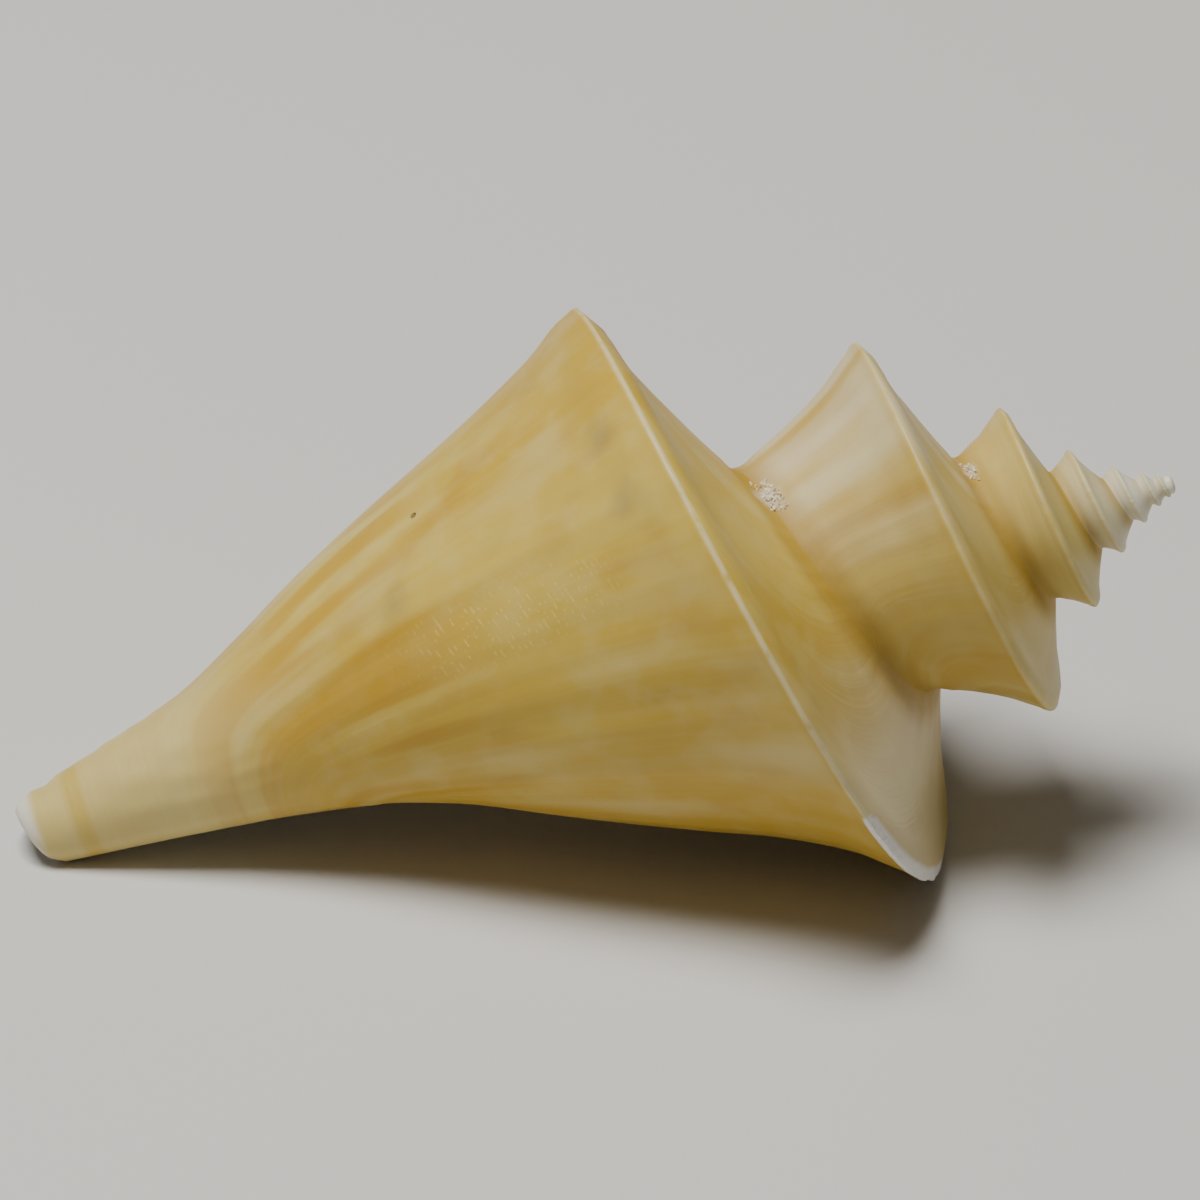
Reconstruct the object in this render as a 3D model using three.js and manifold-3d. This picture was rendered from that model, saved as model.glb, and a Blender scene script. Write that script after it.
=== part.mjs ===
// A Japanese wonder shell: one thin spiral shell with a sharp keel, lying on its side with its mouth down.
// Millimetres, +Z up. The shell is shaped about its own axis first and is then laid down to rest.

import * as THREE from 'three';
import { mergeVertices } from 'three/addons/utils/BufferGeometryUtils.js';
import Module from 'manifold-3d';

const wasm = await Module();
wasm.setup();

// Sizes of the whole shell
const LENGTH = 90.2;
const WALL = 1.3;
const LIP_WALL = 0.9;
const CORE_RADIUS = 0.35;
const BUD_RADIUS = 1;
const PILLAR_RADIUS = 1.5;
const PILLAR_END_RADIUS = 0.7;
const PILLAR_END = 86;
const CANAL_SLANT = 2.6;
const CANAL_BEND = 1.2;
const BEND_START = 55;

// The keel winds outwards and down from the apex. Each row holds a turn of growth, the keel's radius,
// its distance from the apex, how full the whorl is below it (0 slim, 1 full), and the share of the
// keel's radius at which the next whorl sits on this one.
const WHORLS = [
  { turn: -5.0, radius: 1.6, drop: 2.1, full: 0.2, seat: 0.75 },
  { turn: -4.0, radius: 2.75, drop: 3.95, full: 0.2, seat: 0.75 },
  { turn: -3.0, radius: 4.9, drop: 6.65, full: 0.2, seat: 0.75 },
  { turn: -2.0, radius: 9.5, drop: 10.4, full: 0.25, seat: 0.72 },
  { turn: -1.5, radius: 13.05, drop: 13.65, full: 0.15, seat: 0.645 },
  { turn: -1.0, radius: 17.65, drop: 18.9, full: 0.2, seat: 0.64 },
  { turn: -0.5, radius: 22.05, drop: 26.1, full: 0, seat: 0.64 },
  { turn: 0.0, radius: 26.8, drop: 37.75, full: 1, seat: 0.64 },
  { turn: 0.3, radius: 28.6, drop: 43.4, full: 1, seat: 0.64 },
];
const APEX_TURN = -5.0;
const HOLLOW_TURN = -1.45;
const HOLLOW_START = 0.15;
const LIP_TURN = 0.25;

// Below the keel: share of the way down to the canal's end, and share of the keel's radius
const SLIM_BASE = [
  [0, 1], [0.03, 0.93], [0.07, 0.835], [0.155, 0.7], [0.25, 0.585], [0.4, 0.39],
  [0.5, 0.245], [0.6, 0.145], [0.75, 0.08], [0.9, 0.045], [1, 0.035],
];
const FULL_BASE = [
  [0, 1], [0.03, 0.985], [0.09, 0.913], [0.2, 0.81], [0.41, 0.64], [0.52, 0.54],
  [0.63, 0.425], [0.74, 0.32], [0.84, 0.262], [1, 0.165],
];
const EARLY_REACH = 2.9;

// The ramp above the keel: share of the way out from the seam, and share of the way down
const RAMP = [[0, 0], [0.22, 0.29], [0.53, 0.65], [0.7, 0.835], [0.85, 0.94], [1, 1]];
const KEEL_ROUNDING = 0.025;

// The mouth's edge, and every growth line, runs back from the keel along the ramp above it,
// bulges forward below the keel and runs back again along the canal. Turns against share of the way.
const RAMP_NOTCH = 0.17;
const GROWTH_LINE = [[0, 0], [0.15, 0.015], [0.35, 0.02], [0.6, -0.005], [0.8, -0.04], [1, -0.09]];

// How far the inside stands back from the outside, in walls: towards the axis, and along it.
// Rows count from -1 at the seam, over 0 at the keel, to 1 at the canal's end.
const INSIDE_IN = [[-1, 0.1], [-0.4, 0.25], [-0.1, 0.9], [0, 1.4], [0.1, 1.3], [0.3, 1.1], [1, 1]];
const INSIDE_DOWN = [[-1, 1], [-0.3, 1], [0, 0.65], [0.15, 0.35], [0.4, 0.15], [1, 0]];

const RAMP_ROWS = [-1.04, -0.92, -0.75, -0.55, -0.36, -0.18, -0.06];
const BASE_ROWS = [0, 0.03, 0.09, 0.17, 0.27, 0.38, 0.49, 0.6, 0.71, 0.82, 0.92, 1];
const EARLY_BASE_ROWS = BASE_ROWS.slice(0, 6);
const STEPS_PER_TURN = 30;
const SIDES = 16;

// How the shell lies: turned about its own axis, then tipped until the canal's end is down too
const ROLL = 158;
const PITCH = 19.2;
const YAW = 0;
const WORN = 0.25;

const DEGREE = Math.PI / 180;
const TURN = 2 * Math.PI;

const mix = (a, b, share) => a + (b - a) * share;

const ease = (value, from, to) => {
  const share = THREE.MathUtils.clamp((value - from) / (to - from), 0, 1);
  return share * share * (3 - 2 * share);
};

// A smooth curve through points with rising x, which never overshoots them
function curveThrough(points) {
  const slopes = points.slice(1).map(([x, y], i) => (y - points[i][1]) / (x - points[i][0]));
  const tangents = points.map((_, i) => {
    const before = slopes[Math.max(i - 1, 0)];
    const after = slopes[Math.min(i, slopes.length - 1)];
    return before * after > 0 ? (2 * before * after) / (before + after) : 0;
  });
  tangents[0] = slopes[0];
  tangents[points.length - 1] = slopes[slopes.length - 1];
  return (x) => {
    let i = 0;
    while (i < points.length - 2 && x > points[i + 1][0]) i += 1;
    const [x0, y0] = points[i];
    const [x1, y1] = points[i + 1];
    const width = x1 - x0;
    const t = (x - x0) / width;
    return (1 + 2 * t) * (1 - t) ** 2 * y0 + t * (1 - t) ** 2 * width * tangents[i]
      + t * t * (3 - 2 * t) * y1 + t * t * (t - 1) * width * tangents[i + 1];
  };
}

const column = (name, scale) => curveThrough(WHORLS.map((row) => [row.turn, scale(row[name])]));
const logRadius = column('radius', Math.log);
const logDrop = column('drop', Math.log);
const fullness = column('full', (value) => value);
const seat = column('seat', (value) => value);
const slimBase = curveThrough(SLIM_BASE);
const fullBase = curveThrough(FULL_BASE);
const ramp = curveThrough(RAMP);
const growthLine = curveThrough(GROWTH_LINE);
const insideIn = curveThrough(INSIDE_IN);
const insideDown = curveThrough(INSIDE_DOWN);

const keelRadius = (turn) => Math.exp(logRadius(turn));
const keelDrop = (turn) => Math.exp(logDrop(turn));

// Where the part below the keel ends: on early whorls it is hidden, on the last it is the canal
function reach(turn) {
  const early = keelDrop(turn) + EARLY_REACH * keelRadius(turn);
  const canal = LENGTH - CANAL_SLANT * ease(-turn, 0, 0.5);
  return mix(early, canal, ease(turn, -0.85, -0.5));
}

// A point below the keel as radius and distance from the apex
function basePoint(turn, share) {
  const profile = mix(slimBase(share), fullBase(share), fullness(turn));
  return [
    Math.max(keelRadius(turn) * profile, 1.2 * CORE_RADIUS),
    mix(keelDrop(turn), reach(turn), share),
  ];
}

// Where this whorl's ramp meets the whorl before
function seamPoint(turn) {
  const before = turn - 1;
  const wanted = seat(before) * keelRadius(before);
  let [low, high] = [0, 1];
  for (let i = 0; i < 24; i += 1) {
    const middle = (low + high) / 2;
    if (basePoint(before, middle)[0] > wanted) low = middle;
    else high = middle;
  }
  return basePoint(before, low);
}

// A point on the ramp, which goes out and down from the seam and flattens near the keel
function rampPoint(turn, share) {
  const [seamRadius, seamDrop] = seamPoint(turn);
  const radius = keelRadius(turn);
  const shoulder = keelDrop(turn) - KEEL_ROUNDING * radius;
  return [
    mix(seamRadius, radius * (1 - KEEL_ROUNDING / 2), share),
    mix(seamDrop, shoulder, ramp(share)),
  ];
}

// How far a growth line has moved, in turns, from where it crosses the keel
function growthShift(row) {
  return row < 0 ? -RAMP_NOTCH * (1 - (1 + row) ** 2) : growthLine(row);
}

// Radius and distance from the apex, outside and inside the wall
function outside(turn, row) {
  return row < 0 ? rampPoint(turn, 1 + row) : basePoint(turn, row);
}

function inside(turn, row, growth) {
  const wall = mix(WALL, LIP_WALL, ease(growth, LIP_TURN - 0.12, LIP_TURN));
  const opened = ease(growth, HOLLOW_TURN, HOLLOW_TURN + HOLLOW_START);
  const [radius, drop] = outside(turn, row);
  return [
    mix(CORE_RADIUS, Math.max(radius - wall * insideIn(row), CORE_RADIUS), opened),
    drop + wall * insideDown(row) * opened,
  ];
}

const core = (turn, row) => [CORE_RADIUS, outside(turn, row)[1]];

// A closed solid between two sheets of points, which cross the same turns and rows
function slab(outer, inner, fromTurn, toTurn, rows) {
  const steps = Math.max(2, Math.round((toTurn - fromTurn) * STEPS_PER_TURN));
  const vertices = [];
  const triangles = [];
  for (const sheet of [outer, inner]) {
    for (let i = 0; i <= steps; i += 1) {
      for (const row of rows) {
        const growth = mix(fromTurn, toTurn, i / steps);
        const turn = growth + growthShift(row);
        const [radius, drop] = sheet(turn, row, growth);
        vertices.push(radius * Math.cos(turn * TURN), radius * Math.sin(turn * TURN), drop);
      }
    }
  }
  const count = rows.length;
  const at = (side, i, k) => side * (steps + 1) * count + i * count + k;
  const gap = (a, b) => Math.hypot(...[0, 1, 2].map((c) => vertices[3 * a + c] - vertices[3 * b + c]));
  const split = (a, b, c, d) => triangles.push(a, b, c, a, c, d);
  const quad = (a, b, c, d) => (gap(a, c) <= gap(b, d) ? split(a, b, c, d) : split(b, c, d, a));
  for (let i = 0; i < steps; i += 1) {
    for (let k = 0; k < count - 1; k += 1) {
      quad(at(0, i, k), at(0, i + 1, k), at(0, i + 1, k + 1), at(0, i, k + 1));
      quad(at(1, i, k), at(1, i, k + 1), at(1, i + 1, k + 1), at(1, i + 1, k));
    }
    quad(at(1, i, 0), at(1, i + 1, 0), at(0, i + 1, 0), at(0, i, 0));
    quad(at(0, i, count - 1), at(0, i + 1, count - 1), at(1, i + 1, count - 1), at(1, i, count - 1));
  }
  for (let k = 0; k < count - 1; k += 1) {
    split(at(0, 0, k), at(0, 0, k + 1), at(1, 0, k + 1), at(1, 0, k));
    split(at(0, steps, k), at(1, steps, k), at(1, steps, k + 1), at(0, steps, k + 1));
  }
  return new wasm.Manifold(new wasm.Mesh({
    numProp: 3,
    vertProperties: new Float32Array(vertices),
    triVerts: new Uint32Array(triangles),
  }));
}

function solidFrom(geometry) {
  geometry.deleteAttribute('normal');
  geometry.deleteAttribute('uv');
  const merged = mergeVertices(geometry, 1e-4);
  return new wasm.Manifold(new wasm.Mesh({
    numProp: 3,
    vertProperties: new Float32Array(merged.attributes.position.array),
    triVerts: new Uint32Array(merged.index.array),
  }));
}

// The pillar is the solid thread of shell that the whorls wind round
function pillar() {
  const profile = [
    new THREE.Vector2(0, BUD_RADIUS),
    new THREE.Vector2(BUD_RADIUS / 2, 1.5 * BUD_RADIUS),
    new THREE.Vector2(PILLAR_RADIUS, 30),
    new THREE.Vector2(mix(PILLAR_RADIUS, PILLAR_END_RADIUS, 0.6), mix(30, PILLAR_END, 0.75)),
    new THREE.Vector2(PILLAR_END_RADIUS * 0.8, PILLAR_END),
    new THREE.Vector2(0, PILLAR_END + PILLAR_END_RADIUS),
  ];
  const rod = new THREE.LatheGeometry(profile, SIDES);
  rod.rotateX(Math.PI / 2);
  return solidFrom(rod);
}

// The first tiny whorl is a blunt bud
function bud() {
  const ball = new THREE.SphereGeometry(BUD_RADIUS, SIDES, SIDES / 2);
  ball.translate(0, 0, BUD_RADIUS);
  return solidFrom(ball);
}

// Whorls are joined in pieces of half a turn or less, because a longer piece would run through itself
function whorls(inner, fromTurn, toTurn, rows) {
  const pieces = Math.ceil((toTurn - fromTurn) * 2);
  const solids = [];
  for (let i = 0; i < pieces; i += 1) {
    const start = mix(fromTurn, toTurn, i / pieces);
    const end = mix(fromTurn, toTurn, (i + 1) / pieces);
    solids.push(slab(outside, inner, start, end, rows));
  }
  return solids;
}

// Lays the shell down: its axis along X with the canal at -X, rolled and tipped onto its mouth
function laidDown() {
  const axes = new THREE.Matrix4().makeBasis(
    new THREE.Vector3(0, 0, 1),
    new THREE.Vector3(0, 1, 0),
    new THREE.Vector3(-1, 0, 0),
  );
  const roll = new THREE.Matrix4().makeRotationX((ROLL - 180) * DEGREE);
  const pitch = new THREE.Matrix4().makeRotationY(-PITCH * DEGREE);
  const yaw = new THREE.Matrix4().makeRotationZ(YAW * DEGREE);
  return yaw.multiply(pitch).multiply(roll).multiply(axes);
}

function shellGeometry() {
  const joined = wasm.Manifold.union([
    bud(),
    pillar(),
    ...whorls(core, APEX_TURN, HOLLOW_TURN - 1, [...RAMP_ROWS, ...EARLY_BASE_ROWS]),
    ...whorls(core, HOLLOW_TURN - 1, HOLLOW_TURN, [...RAMP_ROWS, ...BASE_ROWS]),
    ...whorls(inside, HOLLOW_TURN, LIP_TURN, [...RAMP_ROWS, ...BASE_ROWS]),
  ]);
  // Facets that meet along the seam can close round specks of air, so only the shell itself is kept
  const [whole] = joined.decompose().sort((a, b) => b.volume() - a.volume());
  const bent = whole.warp((point) => {
    point[0] += CANAL_BEND * Math.max(0, (point[2] - BEND_START) / (LENGTH - BEND_START)) ** 2;
  });
  const laid = bent.transform(laidDown().elements);
  const { min, max } = laid.boundingBox();
  const standing = laid.translate([-(min[0] + max[0]) / 2, -(min[1] + max[1]) / 2, -min[2] - WORN]);
  const ground = new THREE.BoxGeometry(3 * LENGTH, 3 * LENGTH, LENGTH);
  ground.translate(0, 0, -LENGTH / 2);
  const worn = standing.subtract(solidFrom(ground));
  const mesh = worn.getMesh();
  const geometry = new THREE.BufferGeometry();
  geometry.setAttribute('position', new THREE.BufferAttribute(mesh.vertProperties, mesh.numProp));
  geometry.setIndex(new THREE.BufferAttribute(mesh.triVerts, 1));
  return geometry;
}

function shell() {
  const material = new THREE.MeshStandardMaterial({ color: 0xd9c48f, roughness: 0.45, metalness: 0 });
  const mesh = new THREE.Mesh(shellGeometry(), material);
  mesh.name = 'shell';
  return mesh;
}

const part = new THREE.Group();
part.add(shell());

export default part;
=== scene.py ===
"""A Japanese wonder shell lying on a pale floor, dressed over its construction model."""
from math import copysign, cos, radians, sin, tau

import bpy
import numpy as np
from mathutils import Matrix, Vector


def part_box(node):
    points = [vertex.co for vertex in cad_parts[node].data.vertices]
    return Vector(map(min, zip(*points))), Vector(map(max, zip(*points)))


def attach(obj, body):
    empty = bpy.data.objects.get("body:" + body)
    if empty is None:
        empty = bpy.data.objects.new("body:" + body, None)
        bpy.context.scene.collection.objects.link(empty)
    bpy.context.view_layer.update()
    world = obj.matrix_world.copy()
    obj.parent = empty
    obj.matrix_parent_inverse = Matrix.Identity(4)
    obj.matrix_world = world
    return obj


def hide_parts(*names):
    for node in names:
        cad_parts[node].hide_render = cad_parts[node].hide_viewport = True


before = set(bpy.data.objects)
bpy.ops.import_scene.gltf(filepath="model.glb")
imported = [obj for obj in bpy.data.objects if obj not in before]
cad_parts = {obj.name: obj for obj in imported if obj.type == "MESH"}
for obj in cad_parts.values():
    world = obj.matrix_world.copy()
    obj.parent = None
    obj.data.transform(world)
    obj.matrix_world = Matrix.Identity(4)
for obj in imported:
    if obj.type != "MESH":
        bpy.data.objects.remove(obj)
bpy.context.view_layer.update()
MM = 0.001


# The shell grows as one thin wall of aragonite, laid down line by line at the mouth's edge while
# the animal winds outwards and down. The keel's crossings set its size at each turn, and the
# seam is where a whorl's ramp sits on the whorl before. Sizes are in millimetres.
LENGTH = 90.2
WALL = 1.3
LIP_WALL = 0.9
CORE_RADIUS = 0.35
CANAL_SLANT = 2.6
CANAL_BEND = 1.2
BEND_START = 55
KEEL_ROUNDING = 0.025
EARLY_REACH = 2.9
RAMP_NOTCH = 0.17
LIP_TURN = 0.25
LIP_SHAPED_FROM = LIP_TURN - 0.6
LIP_THINNED_FROM = LIP_TURN - 0.12
HOLLOW_TURN = -1.45
HOLLOW_START = 0.15

# turn of growth, keel radius, keel's distance from the apex, fullness below the keel, next seat
WHORLS = np.array([
    (-7.0, 0.8, 0.35, 0.2, 0.75),
    (-6.0, 1.05, 1.1, 0.2, 0.75),
    (-5.0, 1.6, 2.1, 0.2, 0.75),
    (-4.0, 2.75, 3.95, 0.2, 0.75),
    (-3.0, 4.9, 6.65, 0.2, 0.75),
    (-2.0, 9.5, 10.4, 0.25, 0.72),
    (-1.5, 13.05, 13.65, 0.15, 0.645),
    (-1.0, 17.65, 18.9, 0.2, 0.64),
    (-0.5, 22.05, 26.1, 0.0, 0.64),
    (0.0, 26.8, 37.75, 1.0, 0.64),
    (0.3, 28.6, 43.4, 1.0, 0.64),
])
# the profile from the keel to the canal's end, as shares of the way and of the keel's radius
SLIM_BASE = [
    (0, 1), (0.03, 0.93), (0.07, 0.835), (0.155, 0.7), (0.25, 0.585), (0.4, 0.39),
    (0.5, 0.245), (0.6, 0.145), (0.75, 0.08), (0.9, 0.045), (1, 0.035),
]
FULL_BASE = [
    (0, 1), (0.03, 0.985), (0.09, 0.913), (0.2, 0.81), (0.41, 0.64), (0.52, 0.54),
    (0.63, 0.425), (0.74, 0.32), (0.84, 0.262), (1, 0.165),
]
# the ramp from seam to keel, how the lip runs ahead, and the inner wall's place under each row
RAMP = [(0, 0), (0.22, 0.29), (0.53, 0.65), (0.7, 0.835), (0.85, 0.94), (1, 1)]
LIP_LINE = [(0, 0), (0.15, 0.015), (0.35, 0.02), (0.6, -0.005), (0.8, -0.04), (1, -0.09)]
INSIDE_IN = [(-1, 0.1), (-0.4, 0.25), (-0.1, 0.9), (0, 1.4), (0.1, 1.3), (0.3, 1.1), (1, 1)]
INSIDE_DOWN = [(-1, 1), (-0.3, 1), (0, 0.65), (0.15, 0.35), (0.4, 0.15), (1, 0)]


def curve_through(points):
    """A smooth curve through points with rising x, which never overshoots them."""
    x, y = np.array(points, float).T
    width = np.diff(x)
    slope = np.diff(y) / width
    before, after = slope[:-1], slope[1:]
    same = before * after > 0
    middle = np.where(same, 2 * before * after / np.where(same, before + after, 1), 0)
    tangent = np.concatenate([slope[:1], middle, slope[-1:]])

    def value(at):
        i = np.clip(np.searchsorted(x, at, side="left") - 1, 0, len(width) - 1)
        t = (at - x[i]) / width[i]
        left = (1 + 2 * t) * (1 - t) ** 2 * y[i] + t * (1 - t) ** 2 * width[i] * tangent[i]
        right = t * t * (3 - 2 * t) * y[i + 1] + t * t * (t - 1) * width[i] * tangent[i + 1]
        return left + right

    return value


def mix(a, b, share):
    return a + (b - a) * share


def ease(value, start, end):
    share = np.clip((value - start) / (end - start), 0, 1)
    return share * share * (3 - 2 * share)


log_radius = curve_through(np.column_stack([WHORLS[:, 0], np.log(WHORLS[:, 1])]))
log_drop = curve_through(np.column_stack([WHORLS[:, 0], np.log(WHORLS[:, 2])]))
fullness = curve_through(WHORLS[:, [0, 3]])
seat = curve_through(WHORLS[:, [0, 4]])
slim_base = curve_through(SLIM_BASE)
full_base = curve_through(FULL_BASE)
ramp_curve = curve_through(RAMP)
lip_line = curve_through(LIP_LINE)
inside_in = curve_through(INSIDE_IN)
inside_down = curve_through(INSIDE_DOWN)


def keel_radius(turn):
    return np.exp(log_radius(turn))


def keel_drop(turn):
    return np.exp(log_drop(turn))


def base_point(turn, share):
    """Radius and distance from the apex at a share of the way from the keel to the canal's end."""
    full = np.clip(fullness(turn), 0, 1)
    profile = mix(slim_base(share), full_base(share), full)
    early = keel_drop(turn) + EARLY_REACH * keel_radius(turn)
    canal = LENGTH - CANAL_SLANT * ease(-turn, 0, 0.5)
    reach = mix(early, canal, ease(turn, -0.85, -0.5))
    radius = np.maximum(keel_radius(turn) * profile, 1.2 * CORE_RADIUS)
    return radius, mix(keel_drop(turn), reach, share)


def seat_share(turn):
    """How far below the keel the next whorl's ramp is seated, found by halving."""
    wanted = np.clip(seat(turn), 0.6, 0.8) * keel_radius(turn)
    low, high = np.zeros_like(wanted), np.ones_like(wanted)
    for _ in range(24):
        middle = (low + high) / 2
        above = base_point(turn, middle)[0] > wanted
        low, high = np.where(above, middle, low), np.where(above, high, middle)
    return low


def ramp_point(turn, share):
    seam_radius, seam_drop = base_point(turn - 1, seat_share(turn - 1))
    radius = keel_radius(turn)
    shoulder = keel_drop(turn) - KEEL_ROUNDING * radius
    out = mix(seam_radius, radius * (1 - KEEL_ROUNDING / 2), share)
    return out, mix(seam_drop, shoulder, ramp_curve(share))


def outside(turn, row):
    """Rows count from -1 at the seam, over 0 at the keel, to 1 at the canal's end."""
    ramp_radius, ramp_drop = ramp_point(turn, np.clip(1 + row, 0, 1))
    base_radius, base_drop = base_point(turn, np.clip(row, 0, 1))
    on_ramp = row < 0
    return np.where(on_ramp, ramp_radius, base_radius), np.where(on_ramp, ramp_drop, base_drop)


def inside(turn, row, growth):
    wall = mix(WALL, LIP_WALL, ease(growth, LIP_THINNED_FROM, LIP_TURN))
    opened = ease(growth, HOLLOW_TURN, HOLLOW_TURN + HOLLOW_START)
    radius, drop = outside(turn, row)
    inner = mix(CORE_RADIUS, np.maximum(radius - wall * inside_in(row), CORE_RADIUS), opened)
    return inner, drop + wall * inside_down(row) * opened


def lip_shift(row):
    return np.where(row < 0, -RAMP_NOTCH * (1 - (1 + row) ** 2), lip_line(row))


# How the shell lies: rolled about its own axis and tipped until keel, lip and canal's end touch
ROLL = radians(158)
PITCH = radians(19.2)
WORN = 0.25


def laid_down(turn, radius, drop):
    """Points of the shell in the frame's own place, in metres, before they are set on the floor."""
    angle = turn * tau
    x = radius * np.cos(angle)
    x = x + CANAL_BEND * np.maximum(0, (drop - BEND_START) / (LENGTH - BEND_START)) ** 2
    points = np.stack([x, radius * np.sin(angle), drop], -1)
    axes = np.array([(0, 0, -1), (0, 1, 0), (1, 0, 0)])
    roll = np.array(Matrix.Rotation(ROLL - tau / 2, 3, "X"))
    pitch = np.array(Matrix.Rotation(-PITCH, 3, "Y"))
    return points @ (pitch @ roll @ axes).T * MM


# The wall is a grid of growth steps and rows, with the rows closest together at keel and seam
STEPS = 185
FIRST_TURN = -6.9
EMERGING = 0.4
FIRST_RADIUS_SHARE = 0.5
FIRST_DROP = 0.6
INNER_TURN = -1.2

near_keel = 1 - np.linspace(0, 1, 19) ** 1.6
ramp_rows = -near_keel[:-1]
seat_rows = np.linspace(0, 1, 25) ** 1.5
lower_rows = np.linspace(0, 1, 30)[1:]

columns = np.arange(round((LIP_TURN - FIRST_TURN) * STEPS) + 1)
growth = LIP_TURN - (columns[-1] - columns) / STEPS
seats = seat_share(growth)
rows = np.concatenate([
    np.broadcast_to(ramp_rows, (len(growth), len(ramp_rows))),
    seats[:, None] * seat_rows,
    mix(seats[:, None], 1, lower_rows),
], axis=1)
last_seat_row = len(ramp_rows) + len(seat_rows) - 1
grown = np.broadcast_to(growth[:, None], rows.shape)
turns = grown + lip_shift(rows) * ease(grown, LIP_SHAPED_FROM, LIP_TURN)


def age_of(turn, row, drop):
    """When the growing edge laid each point down, in turns: by the keel, or by the canal's end."""
    on_ramp = -RAMP_NOTCH * (1 - (1 + row) ** 2)
    edge = turn - np.where(row < 0, on_ramp, BASE_BOW * np.sin(np.pi * row))
    canal = (drop - LENGTH) / CANAL_GROWTH + LIP_TURN
    top = np.maximum(edge, canal)
    blended = np.exp((edge - top) / EDGE_BLEND) + np.exp((canal - top) / EDGE_BLEND)
    return top + EDGE_BLEND * np.log(blended)


def waves(age, seed, low, high, count=14):
    """A rough wavy line of about unit height, the same on every run."""
    random = np.random.default_rng(seed)
    pitch = np.exp(random.uniform(np.log(low), np.log(high), count))
    phase = random.uniform(0, tau, count)
    total = sum(np.sin(tau * f * age + q) for f, q in zip(pitch, phase))
    return total / np.sqrt(count / 2)


CANAL_GROWTH = 43.2
BASE_BOW = 0.02
EDGE_BLEND = 0.035
PIT = (-0.055, 0.336)
SMUDGES = ((-0.115, 0.415), (-0.104, 0.065), (-0.143, 0.075))
CRUSTS = (-0.085, -1.065)
RIB_HEIGHT = 0.05
RIBS_FROM_RADIUS = (1.5, 5)
KEEL_WEAR = 0.05
KEEL_CORD = 0.28
CORD_WIDTH = 0.45
KEEL_REACH = 1.3
CHALK_HEIGHT = 0.2
CHALK_WIDTH = 0.7
CHALK_TURNS = (-0.54, -0.345)
CHALK_FADE_IN = 0.06
CHALK_FADE_OUT = 0.008
NICK_TURN = -0.55
NICK_WIDTH = 0.005
NICK_DEPTH = 0.4
SEAM_ENDS_AT = LIP_TURN - 1 - RAMP_NOTCH
NOWHERE = 99.0

radius, drop = outside(turns, rows)
ages = age_of(turns, rows, drop)
scale = keel_radius(turns) / keel_radius(0.0)
emerged = ease(growth, FIRST_TURN, FIRST_TURN + EMERGING)[:, None]
radius = radius * mix(FIRST_RADIUS_SHARE, 1, emerged)
drop = mix(FIRST_DROP, drop, emerged)
bare_skin = laid_down(turns, radius, drop)

# Distances along the wall in millimetres, which shrink towards the apex as the markings do
steps = np.linalg.norm(np.diff(bare_skin, axis=1), axis=2) / MM
along = np.concatenate([np.zeros((len(growth), 1)), np.cumsum(steps, axis=1)], axis=1)
from_keel = (along - along[:, len(ramp_rows)][:, None]) / np.sqrt(scale)
past_lip = ease(growth, SEAM_ENDS_AT - 0.01, SEAM_ENDS_AT + 0.03)
seam_gap = np.abs(along[:, last_seat_row:last_seat_row + 1] - along) + 6 * past_lip[:, None]
from_seam = np.minimum(along, seam_gap) / np.sqrt(scale)

# Growth ribs, a fine cord along the keel, wear on it, and one stretch of thick chalky repair
radius = radius + RIB_HEIGHT * scale * waves(ages, 3, 9, 70) * ease(radius, *RIBS_FROM_RADIUS)
cord = KEEL_CORD + KEEL_WEAR * waves(turns, 5, 14, 80)
cord = cord - NICK_DEPTH * np.exp(-((turns - NICK_TURN) / NICK_WIDTH) ** 2)
radius = radius + np.exp(-(from_keel / CORD_WIDTH) ** 2) * np.sqrt(scale) * cord
chalk_start, chalk_end = CHALK_TURNS
chalk = ease(turns, chalk_start, chalk_start + CHALK_FADE_IN)
chalk = chalk * (1 - ease(turns, chalk_end - CHALK_FADE_OUT, chalk_end))
chalk = chalk * np.exp(-(from_keel / CHALK_WIDTH) ** 4)
radius = radius + chalk * CHALK_HEIGHT * (0.7 + 0.3 * waves(turns, 11, 25, 70))
skin = laid_down(turns, radius, drop)

# The seam is filled in a soft hollow curve, and the keel's edge is rounded in the same way
SEAM_FILLET = 2.2
SEAM_DEPTH = 0.45
KEEL_SHARPNESS = 0.35
last = len(growth) - 1
notch_share = ease(growth, LIP_SHAPED_FROM, LIP_TURN)
notch_columns = np.round(RAMP_NOTCH * notch_share * STEPS).astype(int)
partner = np.arange(len(growth)) - STEPS - notch_columns
covered = partner[last]
ramp_of = np.searchsorted(partner, np.arange(covered + 1))
fillet = SEAM_FILLET * keel_radius(growth) / keel_radius(0.0)
base_rows = slice(len(ramp_rows), last_seat_row + 1)
before_seam = along[:, last_seat_row:last_seat_row + 1] - along[:, base_rows]


def point_at(distances, profile, reach):
    return np.array([np.interp(reach, distances, axis) for axis in profile.T])


def round_off(profile, distances, reach, start, corner, end, depth):
    """Bends the part of a profile within reach of a corner, where distances are signed."""
    t = np.clip(0.5 + distances / (2 * reach), 0, 1)[:, None]
    pulled = corner + depth * (corner - (start + end) / 2)
    curve = (1 - t) ** 2 * start + 2 * t * (1 - t) * pulled + t * t * end
    profile[:] = np.where((np.abs(distances) < reach)[:, None], curve, profile)


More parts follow.
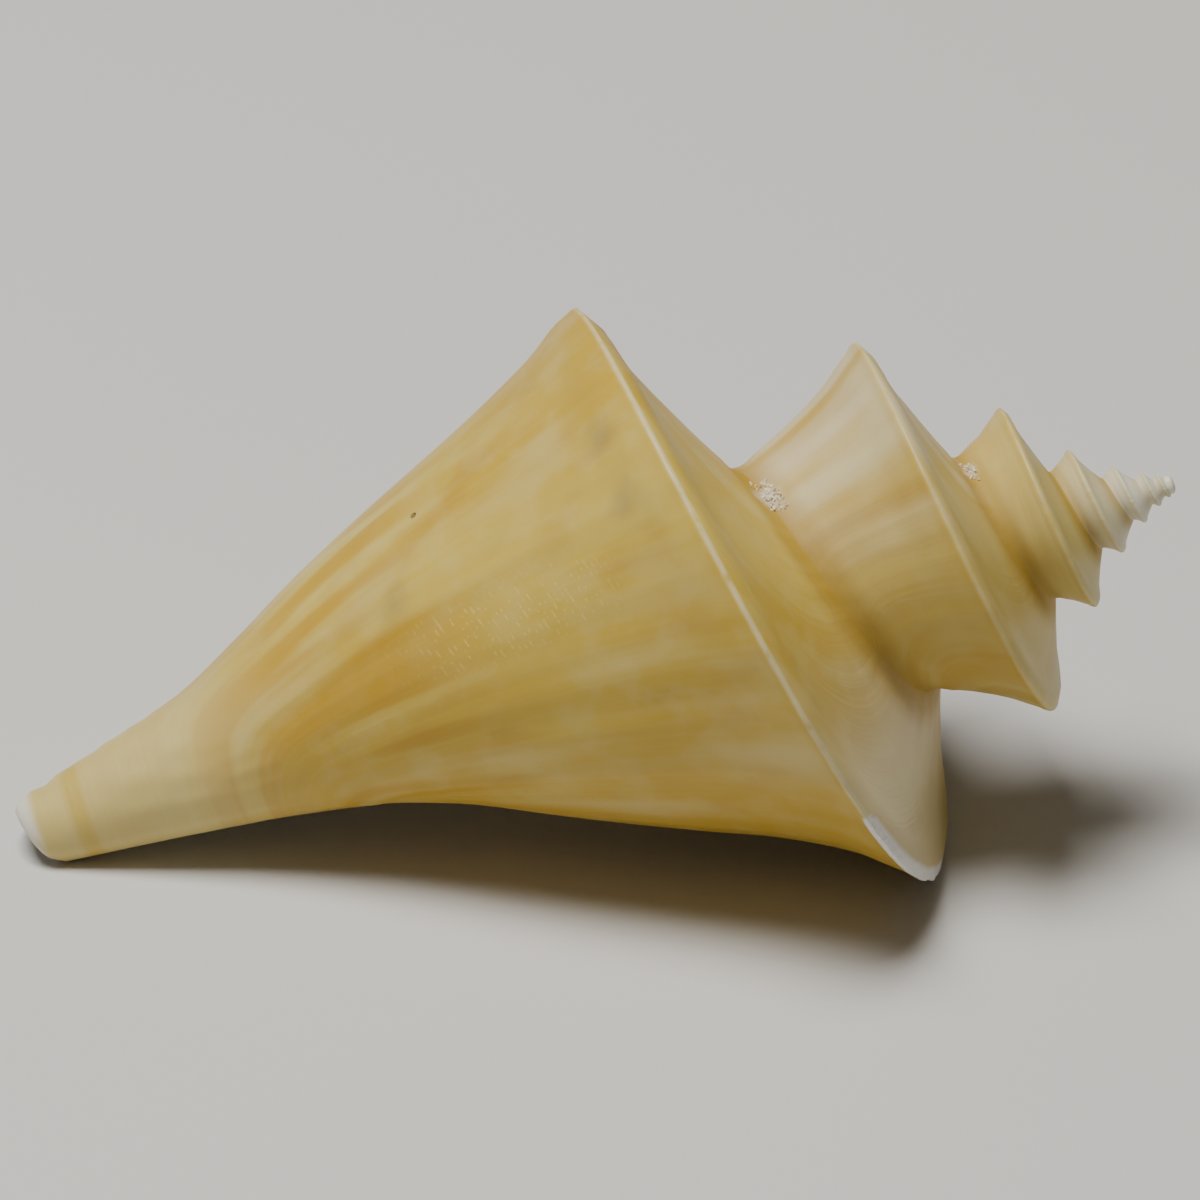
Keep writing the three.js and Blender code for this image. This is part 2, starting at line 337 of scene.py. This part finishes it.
keel_reach = KEEL_REACH * np.sqrt(scale[:, len(ramp_rows)])
to_keel = along - along[:, len(ramp_rows)][:, None]
for j in range(len(growth)):
    start, end = (point_at(to_keel[j], skin[j], side * keel_reach[j]) for side in (-1, 1))
    ends = start, skin[j, len(ramp_rows)], end
    round_off(skin[j], to_keel[j], keel_reach[j], *ends, KEEL_SHARPNESS)

seam_points = skin[:covered + 1, last_seat_row].copy()
base_ends = np.array([
    point_at(before_seam[c, ::-1], skin[c, base_rows][::-1], fillet[ramp_of[c]])
    for c in range(covered + 1)
])
ramp_ends = np.array([
    point_at(along[j], skin[j], fillet[j]) for j in range(STEPS, last + 1)
])
for c in range(covered + 1):
    j = ramp_of[c]
    ends = base_ends[c], seam_points[c], ramp_ends[j - STEPS]
    round_off(skin[c, base_rows], -before_seam[c], fillet[j], *ends, SEAM_DEPTH)
for j in range(STEPS, last + 1):
    c = partner[j]
    if c >= 0:
        ends = base_ends[c], seam_points[c], ramp_ends[j - STEPS]
        round_off(skin[j, :len(ramp_rows)], along[j, :len(ramp_rows)], fillet[j], *ends, SEAM_DEPTH)

row_count = rows.shape[1]
own = np.arange(rows.size).reshape(rows.shape)
place = own.copy()
welded = partner >= 0
place[welded, 0] = own[partner[welded], last_seat_row]
all_facts = np.stack(
    [ages, from_keel, from_seam, np.zeros_like(rows), chalk, turns, drop], -1)
marks = [
    laid_down(turn, *outside(np.array(turn), np.array(row)))
    for turn, row in (PIT, *SMUDGES, *((turn, -1) for turn in CRUSTS))
]
FACTS = ("age", "keel", "seam", "inner", "chalk", "turn", "drop")

points = [skin.reshape(-1, 3)]
facts = [all_facts.reshape(-1, len(FACTS))]
quads = []
quad_facts = []


def add_points(new_points, new_facts):
    """Adds a grid of points with what the material reads at each, and returns their numbers."""
    start = sum(len(p) for p in points)
    points.append(new_points.reshape(-1, 3))
    facts.append(new_facts.reshape(-1, len(FACTS)))
    return start + np.arange(new_points[..., 0].size).reshape(new_points.shape[:-1])


def add_sheet(index, fact_index, outward=True):
    for grid, listed in ((index, quads), (fact_index, quad_facts)):
        corners = [grid[:-1, :-1], grid[1:, :-1], grid[1:, 1:], grid[:-1, 1:]]
        if not outward:
            corners.reverse()
        listed.append(np.stack(corners, -1).reshape(-1, 4))


add_sheet(place[:, :last_seat_row + 1], own[:, :last_seat_row + 1])

# Below the seam the wall goes on out of sight, as the hollow's near side, from where that begins
first_inner = np.searchsorted(growth, INNER_TURN)
first_low = partner[first_inner]
low = place[first_low:, last_seat_row:].copy()
hidden = slice(first_low, covered)
low[:covered - first_low, 0] = add_points(
    bare_skin[hidden, last_seat_row], all_facts[hidden, last_seat_row])
add_sheet(low, own[first_low:, last_seat_row:])

near = slice(first_inner, None)
inner_skin = laid_down(turns[near], *inside(turns[near], rows[near], grown[near]))
inner_facts = all_facts[near].copy()
inner_facts[..., FACTS.index("seam")] = NOWHERE
inner_facts[..., FACTS.index("inner")] = 1
inner_facts[..., FACTS.index("chalk")] = 0
inner = add_points(inner_skin, inner_facts)
add_sheet(inner, inner, outward=False)
inner_seam = np.stack([inner[:, 0], low[partner[near] - first_low, 0]], -1)
add_sheet(inner_seam, np.stack([inner[:, 0], inner[:, 0]], -1))

# The rim goes round the mouth's edge from the seam to the canal, and on round the canal's end
lip_out = np.concatenate([place[-1, :], place[first_inner:-1, -1][::-1]])
lip_in = np.concatenate([inner[-1, :], inner[:-1, -1][::-1]])
every = np.concatenate(points)
every_fact = np.concatenate(facts)
forward = np.concatenate([
    skin[-1, :] - skin[-5, :],
    (skin[near, -1] - skin[near, -2])[:-1][::-1],
])
forward[0] = forward[1]
forward[row_count - 1] += skin[-1, -1] - skin[-1, -2]
forward /= np.linalg.norm(forward, axis=1, keepdims=True)
thick = np.linalg.norm(every[lip_out] - every[lip_in], axis=1, keepdims=True)
rings = [lip_out]
for share in (0.15, 0.35, 0.65, 0.85):
    bulge = 0.5 * np.sin(np.pi * share) * thick * forward
    ring_facts = every_fact[lip_out].copy()
    ring_facts[:, FACTS.index("inner")] = share
    rings.append(add_points(mix(every[lip_out], every[lip_in], share) + bulge, ring_facts))
rings.append(lip_in)
rings = np.stack(rings)
add_sheet(rings, rings)

# Flat caps close the wall out of sight: at the tip, the hollow's start, the seam and the pillar
tip_loop = np.concatenate([place[:STEPS + 1, 0], own[0, 1:last_seat_row][::-1]])
hollow_loop = np.concatenate([inner[0], low[0, ::-1]])
pillar_loop = np.concatenate([low[:first_inner - first_low, -1], rings[:, -1]])
caps = [tip_loop[::-1], hollow_loop[::-1], pillar_loop, rings[::-1, 0]]


def add_lathe(profile, sides, age):
    """A closed round body about the shell's axis, from its top pole to its bottom pole."""
    around = np.arange(sides + 1) / sides
    radii, drops = (np.repeat(column[:, None], sides + 1, 1) for column in np.array(profile).T)
    body = laid_down(np.broadcast_to(around, radii.shape), radii, drops)
    body_facts = np.zeros((*radii.shape, len(FACTS)))
    body_facts[...] = (age, NOWHERE, NOWHERE, 0, 0, age, 0)
    index = add_points(body, body_facts)
    index[:, -1] = index[:, 0]
    index[0, :] = index[0, 0]
    index[-1, :] = index[-1, 0]
    add_sheet(index.T, index.T)


BUD_RADIUS = 0.72
BUD_HALF_HEIGHT = 0.4
BUD_TOP = 0.05
BUD_ROUNDNESS = 0.75
PILLAR_RADIUS = 1.5
PILLAR_END_RADIUS = 0.7
PILLAR_END = 86
LATHE_SIDES = 32
bud_profile = []
for q in np.linspace(0, np.pi, 25):
    lift = copysign(abs(cos(q)) ** BUD_ROUNDNESS, cos(q))
    bud_profile.append((BUD_RADIUS * sin(q) ** BUD_ROUNDNESS, BUD_HALF_HEIGHT * (1 - lift) + BUD_TOP))
bud_profile[-1] = (0, 2 * BUD_HALF_HEIGHT + BUD_TOP)
add_lathe(bud_profile, LATHE_SIDES, FIRST_TURN)
add_lathe([
    (0, 2.5), (PILLAR_RADIUS / 2, 3.5), (PILLAR_RADIUS, 30), (PILLAR_RADIUS, 45),
    (PILLAR_END_RADIUS, PILLAR_END - 1), (PILLAR_END_RADIUS * 0.6, PILLAR_END),
    (0, PILLAR_END + 0.2),
], LATHE_SIDES, 0)

points = np.concatenate(points)
facts = np.concatenate(facts)
quads = np.concatenate(quads)
quad_facts = np.concatenate(quad_facts)
used, packed = np.unique(quads, return_inverse=True)
points = points[used]

cad_low, cad_high = (np.array(corner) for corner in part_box("shell"))
shift = (cad_low + cad_high) / 2 - (points.min(0) + points.max(0)) / 2
shift[2] = -points[:, 2].min() - WORN * MM
points = points + shift
points[:, 2] = np.maximum(points[:, 2], 0)

faces = []
corner_facts = []
for quad, told in zip(packed.reshape(quads.shape).tolist(), quad_facts.tolist()):
    corners = dict(zip(quad, told))
    if len(corners) > 2:
        faces.append(list(corners))
        corner_facts.extend(corners.values())
for cap in caps:
    faces.append(np.searchsorted(used, cap).tolist())
    corner_facts.extend(cap.tolist())
mesh = bpy.data.meshes.new("shell_wall")
mesh.from_pydata(points.tolist(), [], faces)
for column, name in enumerate(FACTS):
    layer = mesh.attributes.new(name, "FLOAT", "CORNER")
    layer.data.foreach_set("value", facts[corner_facts, column])
mesh.polygons.foreach_set("use_smooth", [True] * len(mesh.polygons))
mesh.validate()
shell_wall = bpy.data.objects.new("shell_wall", mesh)
bpy.context.scene.collection.objects.link(shell_wall)
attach(shell_wall, "root")
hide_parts("shell")


class Socket:
    """An output socket of a material's nodes, which takes part in sums as a number does."""

    def __init__(self, nodes, output):
        self.nodes = nodes
        self.output = output

    def maths(self, operation, *values):
        sockets = dict(enumerate(values))
        return self.nodes.add("ShaderNodeMath", {"operation": operation}, sockets)

    def __add__(self, other):
        return self.maths("ADD", self, other)

    def __sub__(self, other):
        return self.maths("SUBTRACT", self, other)

    def __rsub__(self, other):
        return self.maths("SUBTRACT", other, self)

    def __mul__(self, other):
        return self.maths("MULTIPLY", self, other)

    __radd__ = __add__
    __rmul__ = __mul__


class Nodes:
    """One material's nodes."""

    def __init__(self, name):
        self.material = bpy.data.materials.new(name)
        self.material.use_nodes = True
        self.tree = self.material.node_tree
        self.shader = self.tree.nodes["Principled BSDF"]

    def add(self, kind, settings, sockets, output=0):
        """Adds a node: its settings first, then the values or links of its sockets."""
        node = self.tree.nodes.new(kind)
        for name, value in settings.items():
            setattr(node, name, value)
        for key, value in sockets.items():
            self.join(node.inputs[key], value)
        return Socket(self, node.outputs[output])

    def join(self, socket, value):
        if isinstance(value, Socket):
            self.tree.links.new(value.output, socket)
        else:
            socket.default_value = value

    def fact(self, name):
        return self.add("ShaderNodeAttribute", {"attribute_name": name}, {}, "Fac")

    def share(self, value, low, high):
        """How far a value has gone from low to high, eased and held between 0 and 1."""
        settings = {"interpolation_type": "SMOOTHSTEP"}
        return self.add("ShaderNodeMapRange", settings, {0: value, 1: low, 2: high})

    def tint(self, share, first, second):
        settings = {"data_type": "RGBA"}
        first, second = (c if isinstance(c, Socket) else (*c, 1) for c in (first, second))
        return self.add("ShaderNodeMix", settings, {0: share, 6: first, 7: second}, 2)

    def noise(self, place, scale, detail, w=None):
        settings = {"noise_dimensions": "3D" if w is None else "4D"}
        sockets = {"Vector": place, "Scale": scale, "Detail": detail}
        if w is not None:
            sockets["W"] = w
        return self.add("ShaderNodeTexNoise", settings, sockets)

    def feed(self, name, value):
        self.join(self.shader.inputs[name], value)


# Colours of the shell's lime, with a painted seam shade and a painted glint among them, and where
# each marking lies: turns of growth, and millimetres from the keel, from the seam or down from the
# apex
HONEY = (0.55, 0.36, 0.035)
CREAM = (0.64, 0.47, 0.085)
FAWN = (0.46, 0.26, 0.03)
IVORY = (0.69, 0.59, 0.27)
PAINTED_SEAM_SHADE = (0.35, 0.205, 0.01)
ARC_GOLD = (0.50, 0.27, 0.012)
PAINTED_GLINT = (0.78, 0.60, 0.15)
SPIRE_WHITE = (0.84, 0.83, 0.69)
PORCELAIN = (0.80, 0.76, 0.66)
CHALK_WHITE = (0.82, 0.80, 0.74)
PIT_BROWN = (0.16, 0.09, 0.03)
SMUDGE_GREY = (0.32, 0.24, 0.11)
KEEL_CREAM = (0.76, 0.69, 0.42)
SEAM_CLEARANCE = (1, 4)
SEAM_SHADE_REACH = 3.8
NECK = (48, 60)
NECK_END = (75, 81)
CANAL = (66, 80)
CANAL_BAND = 86.3
CANAL_TIP = (89.0, 89.9)
KEEL_LINE = 0.3
KEEL_GLOW = 1.6
PIT_EDGE = (0.15, 0.32)
SMUDGE_EDGE = (1.2, 3.6)
CRUST_EDGE = 1.2
CRUST_REACHES = (2.2, 1.3)
# the raised strokes, and the band where they also carry a painted glint
THREAD_PITCH = 0.5
THREAD_HEIGHT = 0.012
THREAD_AGE = -0.155
THREAD_BAND = (0.012, 0.035)
THREADS_START = (6, 14)
THREADS_END = (21, 31)

shell = Nodes("wonder_shell")
place_at = shell.add("ShaderNodeTexCoord", {}, {}, "Object")
age, keel, seam, inner_share, worn, turn, drop_fact = (shell.fact(name) for name in FACTS)


def streaks(per_turn, length, detail, offset=0):
    """Markings along the growth lines: so many to a turn, each about so many millimetres long."""
    fineness = 1 / (length * MM)
    w = age * (per_turn / fineness) + offset / fineness
    return shell.noise(place_at, fineness, detail, w)


broad = streaks(8, 30, 1)
blotches = streaks(36, 6.5, 1.5, 40)
pale_streaks = streaks(24, 18, 1.2, 80)
fine_lines = streaks(170, 20, 2, 120)
arcs = streaks(30, 26, 1.2, 200)
mottle = shell.noise(place_at, 300, 3)
uneven = shell.noise(place_at, 500, 2)
grit = shell.noise(place_at, 2600, 2)
base_side = shell.share(keel, -0.4, 0.4)
ramp_side = 1 - base_side

# The ground colour: honey and cream, with pale and fawn streaks laid down along the lip
colour = shell.tint(shell.share(broad, 0.4, 0.7), HONEY, CREAM)
pale = shell.share(pale_streaks, 0.5, 0.78) * shell.share(seam, *SEAM_CLEARANCE)
colour = shell.tint(pale * (0.3 + 0.3 * base_side), colour, IVORY)
colour = shell.tint(shell.share(blotches, 0.5, 0.8) * (0.1 + 0.4 * base_side), colour, FAWN)
colour = shell.tint(shell.share(fine_lines, 0.3, 0.7) * 0.1, colour, IVORY)
colour = shell.tint(shell.share(mottle, 0.42, 0.68) * 0.2, colour, IVORY)

# The spire is paler, and the last whorl starts with a pale ramp and a fawn base
spire = 1 - shell.share(turn, -3.4, -1.4)
upper_whorls = 0.3 - 0.3 * shell.share(turn, -1.0, -0.6)
colour = shell.tint(upper_whorls + spire * 0.35, colour, IVORY)
colour = shell.tint((1 - shell.share(turn, -4.4, -2.2)) * 0.85, colour, SPIRE_WHITE)
early = 1 - shell.share(turn, -0.4, -0.22)
pale_ramp = early * ramp_side * shell.share(turn, -0.6, -0.4)
colour = shell.tint(pale_ramp * 0.4, colour, SPIRE_WHITE)
fawn_base = early * base_side * shell.share(turn, -0.6, -0.45)
colour = shell.tint(fawn_base * 0.3, colour, FAWN)

# Golden arcs cross the neck and, more faintly, the whorl before the last; its top is painted light
neck = shell.share(drop_fact, *NECK) * (1 - shell.share(drop_fact, *NECK_END))
second_whorl = shell.share(turn, -2.2, -1.8) * (1 - shell.share(turn, -0.85, -0.65))
arc_strength = neck * 0.6 + base_side * second_whorl * 0.3
colour = shell.tint(shell.share(arcs, 0.47, 0.6) * arc_strength, colour, ARC_GOLD)
# painted light: the top of the whorl before the last is made paler
second_top_painted_light = shell.share(turn, -1.25, -1.05) * (1 - shell.share(turn, -0.95, -0.85))
colour = shell.tint(second_top_painted_light * shell.share(pale_streaks, 0.3, 0.6) * 0.4, colour, SPIRE_WHITE)

# The canal is pale, with a yellow band just before its white end
colour = shell.tint(shell.share(drop_fact, *CANAL) * 0.6, colour, IVORY)
from_band = drop_fact - CANAL_BAND + 0.8 * broad
band = 1 - shell.share(from_band.maths("ABSOLUTE", from_band), 0.3, 1.1)
colour = shell.tint(band * 0.5, colour, HONEY)
colour = shell.tint(shell.share(drop_fact, *CANAL_TIP) * 0.8, colour, CHALK_WHITE)

# Colour gathers beside the keel, the seams are darkened to deep gold as painted shade and bounced
# light in the crease, and the keel itself is a worn pale line
from_keel_line = keel.maths("ABSOLUTE", keel)
glow = (1 - shell.share(from_keel_line, KEEL_LINE, KEEL_GLOW)) * base_side
colour = shell.tint(glow * 0.4, colour, HONEY)
seam_shade_strength = 0.3 + 0.45 * shell.share(turn, -4.6, -2.6)
# painted shade: the seam crease is darkened toward deep gold
colour = shell.tint((1 - shell.share(seam, 0, SEAM_SHADE_REACH)) * seam_shade_strength, colour, PAINTED_SEAM_SHADE)
line = 1 - shell.share(from_keel_line + 0.3 * uneven, KEEL_LINE * 0.9, KEEL_LINE * 2.6)
line = line * (0.3 + 0.35 * shell.share(turn, -1.2, -0.5))
colour = shell.tint(line * shell.share(uneven, 0.2, 0.5), colour, KEEL_CREAM)
colour = shell.tint(shell.share(worn, 0.25, 0.6), colour, CHALK_WHITE)
colour = shell.tint(shell.share(inner_share, 0.05, 0.6), colour, PORCELAIN)

# Single marks, by their distance in millimetres: a pit, grey smudges and limy crusts
pit, *near_smudges, first_crust, second_crust = (
    shell.add(
        "ShaderNodeVectorMath", {"operation": "DISTANCE"}, {0: place_at, 1: mark + shift}, "Value"
    ) * (1 / MM)
    for mark in marks
)
in_pit = 1 - shell.share(pit, *PIT_EDGE)
colour = shell.tint(in_pit * 0.75, colour, PIT_BROWN)
for smudge in near_smudges:
    grey = 1 - shell.share(smudge + 2.4 * uneven, *SMUDGE_EDGE)
    colour = shell.tint(grey * 0.45, colour, SMUDGE_GREY)
for crust, reach in zip((first_crust, second_crust), CRUST_REACHES):
    limy = 1 - shell.share(crust + 3 * uneven, CRUST_EDGE, CRUST_EDGE + reach)
    colour = shell.tint(limy * 0.6, colour, CHALK_WHITE)

# A band of short raised strokes on the back, which run across the growth lines; their colour is
# lightened to yellow as a painted glint, a highlight of the lamp on them
wave = keel * (tau / THREAD_PITCH)
threads_and_painted_glint = shell.share(wave.maths("SINE", wave), 0.2, 0.9)
broken = shell.share(shell.noise(place_at, 1900, 1), 0.52, 0.64)
from_thread_age = age - THREAD_AGE + 0.05 * broad
thread_and_glint_band = 1 - shell.share(from_thread_age.maths("ABSOLUTE", from_thread_age), *THREAD_BAND)
thread_and_glint_band = thread_and_glint_band * shell.share(keel, *THREADS_START)
threads_and_painted_glint = threads_and_painted_glint * broken * thread_and_glint_band * (1 - shell.share(keel, *THREADS_END))
# painted glint: the strokes' colour is lightened toward yellow-white
shell.feed("Base Color", shell.tint(threads_and_painted_glint * 0.6, colour, PAINTED_GLINT))

height = threads_and_painted_glint * THREAD_HEIGHT + fine_lines * 0.03 + worn * grit * 0.25 - in_pit * 0.25
height = height * (1 - inner_share)
bump = shell.add(
    "ShaderNodeBump", {}, {"Strength": 1.0, "Distance": MM, "Height": height}, "Normal")
shell.feed("Normal", bump)
in_seam = 1 - shell.share(seam, *SEAM_CLEARANCE)
roughness = 0.36 + 0.12 * fine_lines + worn * 0.35 + in_seam * 0.2 - 0.12 * inner_share
shell.feed("Roughness", roughness)
shell.feed("Specular IOR Level", 0.3)
shell.feed("Subsurface Weight", 0.1)
shell.feed("Subsurface Radius", (1.0, 0.6, 0.3))
shell.feed("Subsurface Scale", 1.2 * MM)
mesh.materials.append(shell.material)


# Limy crumbs sit in two stretches of the seam. They are rough white grains of lime, left by the
# sea floor or by small animals that lived on the shell, and they are stuck fast to its wall.
# first and last turn of growth of each stretch, and how far the crumbs spread down the whorl
CRUMB_STRETCHES = ((0.0, 0.085, 1.6), (-1.1, -1.04, 0.9))
RAMP_SPREAD_SHARE = 0.6
CRUMB_SIZE = 0.2
CRUMB_ROUGHNESS = 2
CRUMB_SCALES = ((0.3, 0.3, 0.2), (1.5, 1.2, 0.8))
CRUMBS_PER_SQUARE_MM = 9
CRUMB_SEED = 7
CRUMB_SHADOW = (0.62, 0.52, 0.34)
CRUMB_WHITE = (0.82, 0.78, 0.68)

patch_points = []
patch_faces = []
for first, end, spread in CRUMB_STRETCHES:
    stretch = np.flatnonzero((growth > first) & (growth < end))
    on_base = [(before_seam[partner[j]] < spread).sum() for j in stretch]
    on_ramp = [(along[j, 1:len(ramp_rows)] < spread * RAMP_SPREAD_SHARE).sum() for j in stretch]
    base_count = max(min(on_base), 2)
    ramp_count = max(min(on_ramp), 1)
    on_whorl = slice(last_seat_row - base_count + 1, last_seat_row + 1)
    grid = shift + np.array([
        np.concatenate([skin[partner[j], on_whorl], skin[j, 1:1 + ramp_count]]) for j in stretch
    ])
    start = len(patch_points)
    patch_points.extend(grid.reshape(-1, 3).tolist())
    across = grid.shape[1]
    for i in range(len(grid) - 1):
        for k in range(across - 1):
            corner = start + i * across + k
            patch_faces.append((corner, corner + across, corner + across + 1, corner + 1))
patch = bpy.data.meshes.new("seam_crumbs")
patch.from_pydata(patch_points, [], patch_faces)
seam_crumbs = bpy.data.objects.new("seam_crumbs", patch)
bpy.context.scene.collection.objects.link(seam_crumbs)

crumb = Nodes("limy_crumb")
crumb_place = crumb.add("ShaderNodeTexCoord", {}, {}, "Object")
crumb_grain = crumb.noise(crumb_place, 3000, 2)
crumb.feed("Base Color", crumb.tint(crumb.share(crumb_grain, 0.35, 0.65), CRUMB_SHADOW, CRUMB_WHITE))
crumb.feed("Roughness", 0.75)

scatter = bpy.data.node_groups.new("crumbs_on_seam", "GeometryNodeTree")
socket_ids = {}
for name, kind in (("Patch", "Geometry"), ("Size", "Float"), ("Density", "Float"), ("Seed", "Int")):
    socket = scatter.interface.new_socket(name, in_out="INPUT", socket_type="NodeSocket" + kind)
    socket_ids[name] = socket.identifier
scatter.interface.new_socket("Crumbs", in_out="OUTPUT", socket_type="NodeSocketGeometry")


def scatter_node(kind, sockets, **settings):
    """Adds a geometry node: its settings first, then the values or links of its sockets."""
    node = scatter.nodes.new(kind)
    for name, value in settings.items():
        setattr(node, name, value)
    for key, value in sockets.items():
        if isinstance(value, bpy.types.NodeSocket):
            scatter.links.new(value, node.inputs[key])
        else:
            node.inputs[key].default_value = value
    return node


given = scatter.nodes.new("NodeGroupInput").outputs
spots = scatter_node(
    "GeometryNodeDistributePointsOnFaces",
    {"Mesh": given["Patch"], "Density": given["Density"], "Seed": given["Seed"]})
ball = scatter_node("GeometryNodeMeshIcoSphere", {"Radius": given["Size"], "Subdivisions": 2})
position = scatter_node("GeometryNodeInputPosition", {})
rough = scatter_node("ShaderNodeTexNoise", {"Vector": position.outputs[0], "Scale": 5000})
push = scatter_node(
    "ShaderNodeVectorMath", {0: rough.outputs["Color"], 1: (0.5, 0.5, 0.5)}, operation="SUBTRACT")
push = scatter_node(
    "ShaderNodeVectorMath",
    {0: push.outputs[0], "Scale": CRUMB_ROUGHNESS * CRUMB_SIZE * MM}, operation="SCALE")
grain = scatter_node(
    "GeometryNodeSetPosition", {"Geometry": ball.outputs["Mesh"], "Offset": push.outputs[0]})
turned = scatter_node(
    "FunctionNodeRandomValue", {0: (0, 0, 0), 1: (tau, tau, tau), "Seed": 3},
    data_type="FLOAT_VECTOR")
sized = scatter_node(
    "FunctionNodeRandomValue", {0: CRUMB_SCALES[0], 1: CRUMB_SCALES[1], "Seed": 4},
    data_type="FLOAT_VECTOR")
crumbs = scatter_node("GeometryNodeInstanceOnPoints", {
    "Points": spots.outputs["Points"], "Instance": grain.outputs[0],
    "Rotation": turned.outputs[0], "Scale": sized.outputs[0]})
crumbs = scatter_node("GeometryNodeRealizeInstances", {0: crumbs.outputs[0]})
crumbs = scatter_node(
    "GeometryNodeSetMaterial", {"Geometry": crumbs.outputs[0], "Material": crumb.material})
scatter.links.new(crumbs.outputs[0], scatter.nodes.new("NodeGroupOutput").inputs[0])

modifier = seam_crumbs.modifiers.new("crumbs", "NODES")
modifier.node_group = scatter
modifier[socket_ids["Size"]] = CRUMB_SIZE * MM
modifier[socket_ids["Density"]] = CRUMBS_PER_SQUARE_MM / MM ** 2
modifier[socket_ids["Seed"]] = CRUMB_SEED
evaluated = seam_crumbs.evaluated_get(bpy.context.evaluated_depsgraph_get())
crumb_mesh = bpy.data.meshes.new_from_object(evaluated)
seam_crumbs.modifiers.clear()
seam_crumbs.data = crumb_mesh
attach(seam_crumbs, "root")


# The floor is a plain pale sheet of matt paper, far wider than the view. It isn't part of the
# shell, which only lies on it.
FLOOR_HALF = 1.2
PAPER_SHADES = ((0.64, 0.63, 0.61), (0.68, 0.67, 0.65))
floor_mesh = bpy.data.meshes.new("floor")
floor_corners = [(-1, -1), (1, -1), (1, 1), (-1, 1)]
floor_points = [(x * FLOOR_HALF, y * FLOOR_HALF, 0) for x, y in floor_corners]
floor_mesh.from_pydata(floor_points, [], [(0, 1, 2, 3)])
floor = bpy.data.objects.new("floor", floor_mesh)
bpy.context.scene.collection.objects.link(floor)
paper = Nodes("pale_paper")
paper_place = paper.add("ShaderNodeTexCoord", {}, {}, "Object")
paper.feed("Base Color", paper.tint(paper.noise(paper_place, 6, 2), *PAPER_SHADES))
paper.feed("Roughness", 0.8)
floor_mesh.materials.append(paper.material)


# The camera looks down at the shell from the photograph's side, through a long lens. It is
# turned about the upright axis, raised, and rolled a little about its own line of sight.
TURNED = radians(6.95)
RAISED = radians(29.06)
SENSOR_WIDTH = 36
VIEW = Vector((sin(TURNED) * cos(RAISED), cos(TURNED) * cos(RAISED), -sin(RAISED)))
AIM = Vector((0.544, 0.15, 19.228)) * MM
DISTANCE = 0.95
SEEN_WIDTH = 0.09038
CAMERA_ROLL = radians(1.193)
camera_data = bpy.data.cameras.new("camera")
camera_data.sensor_width = SENSOR_WIDTH
camera_data.lens = SENSOR_WIDTH * DISTANCE / SEEN_WIDTH
camera_data.clip_start = 0.05
camera_data.clip_end = 10
camera = bpy.data.objects.new("camera", camera_data)
bpy.context.scene.collection.objects.link(camera)
level = VIEW.to_track_quat("-Z", "Y")
camera.matrix_world = (
    Matrix.Translation(AIM - VIEW * DISTANCE) @ level.to_matrix().to_4x4()
    @ Matrix.Rotation(CAMERA_ROLL, 4, "Z")
)
bpy.context.scene.camera = camera


# Soft studio light: a large key lamp from above and a little to the left, a weak fill lamp from
# the right, and an even dim surround.
WARM_LIGHT = (1, 0.98, 0.94)
PLAIN_LIGHT = (1, 0.99, 0.97)
SURROUND_STRENGTH = 0.085


def add_light(name, place, size, power, colour):
    """Adds a square lamp that faces the shell."""
    light_data = bpy.data.lights.new(name, "AREA")
    light_data.size = size
    light_data.energy = power
    light_data.color = colour
    light = bpy.data.objects.new(name, light_data)
    bpy.context.scene.collection.objects.link(light)
    facing = (AIM - Vector(place)).to_track_quat("-Z", "Y")
    light.matrix_world = Matrix.Translation(place) @ facing.to_matrix().to_4x4()


add_light("key_light", (-0.22, -0.02, 0.8), 0.38, 9.2, WARM_LIGHT)
add_light("fill_light", (0.6, -0.6, 0.35), 0.6, 0.13, PLAIN_LIGHT)
world = bpy.data.worlds.new("studio")
world.use_nodes = True
surround = world.node_tree.nodes["Background"].inputs
surround["Color"].default_value = (*PLAIN_LIGHT, 1)
surround["Strength"].default_value = SURROUND_STRENGTH
bpy.context.scene.world = world
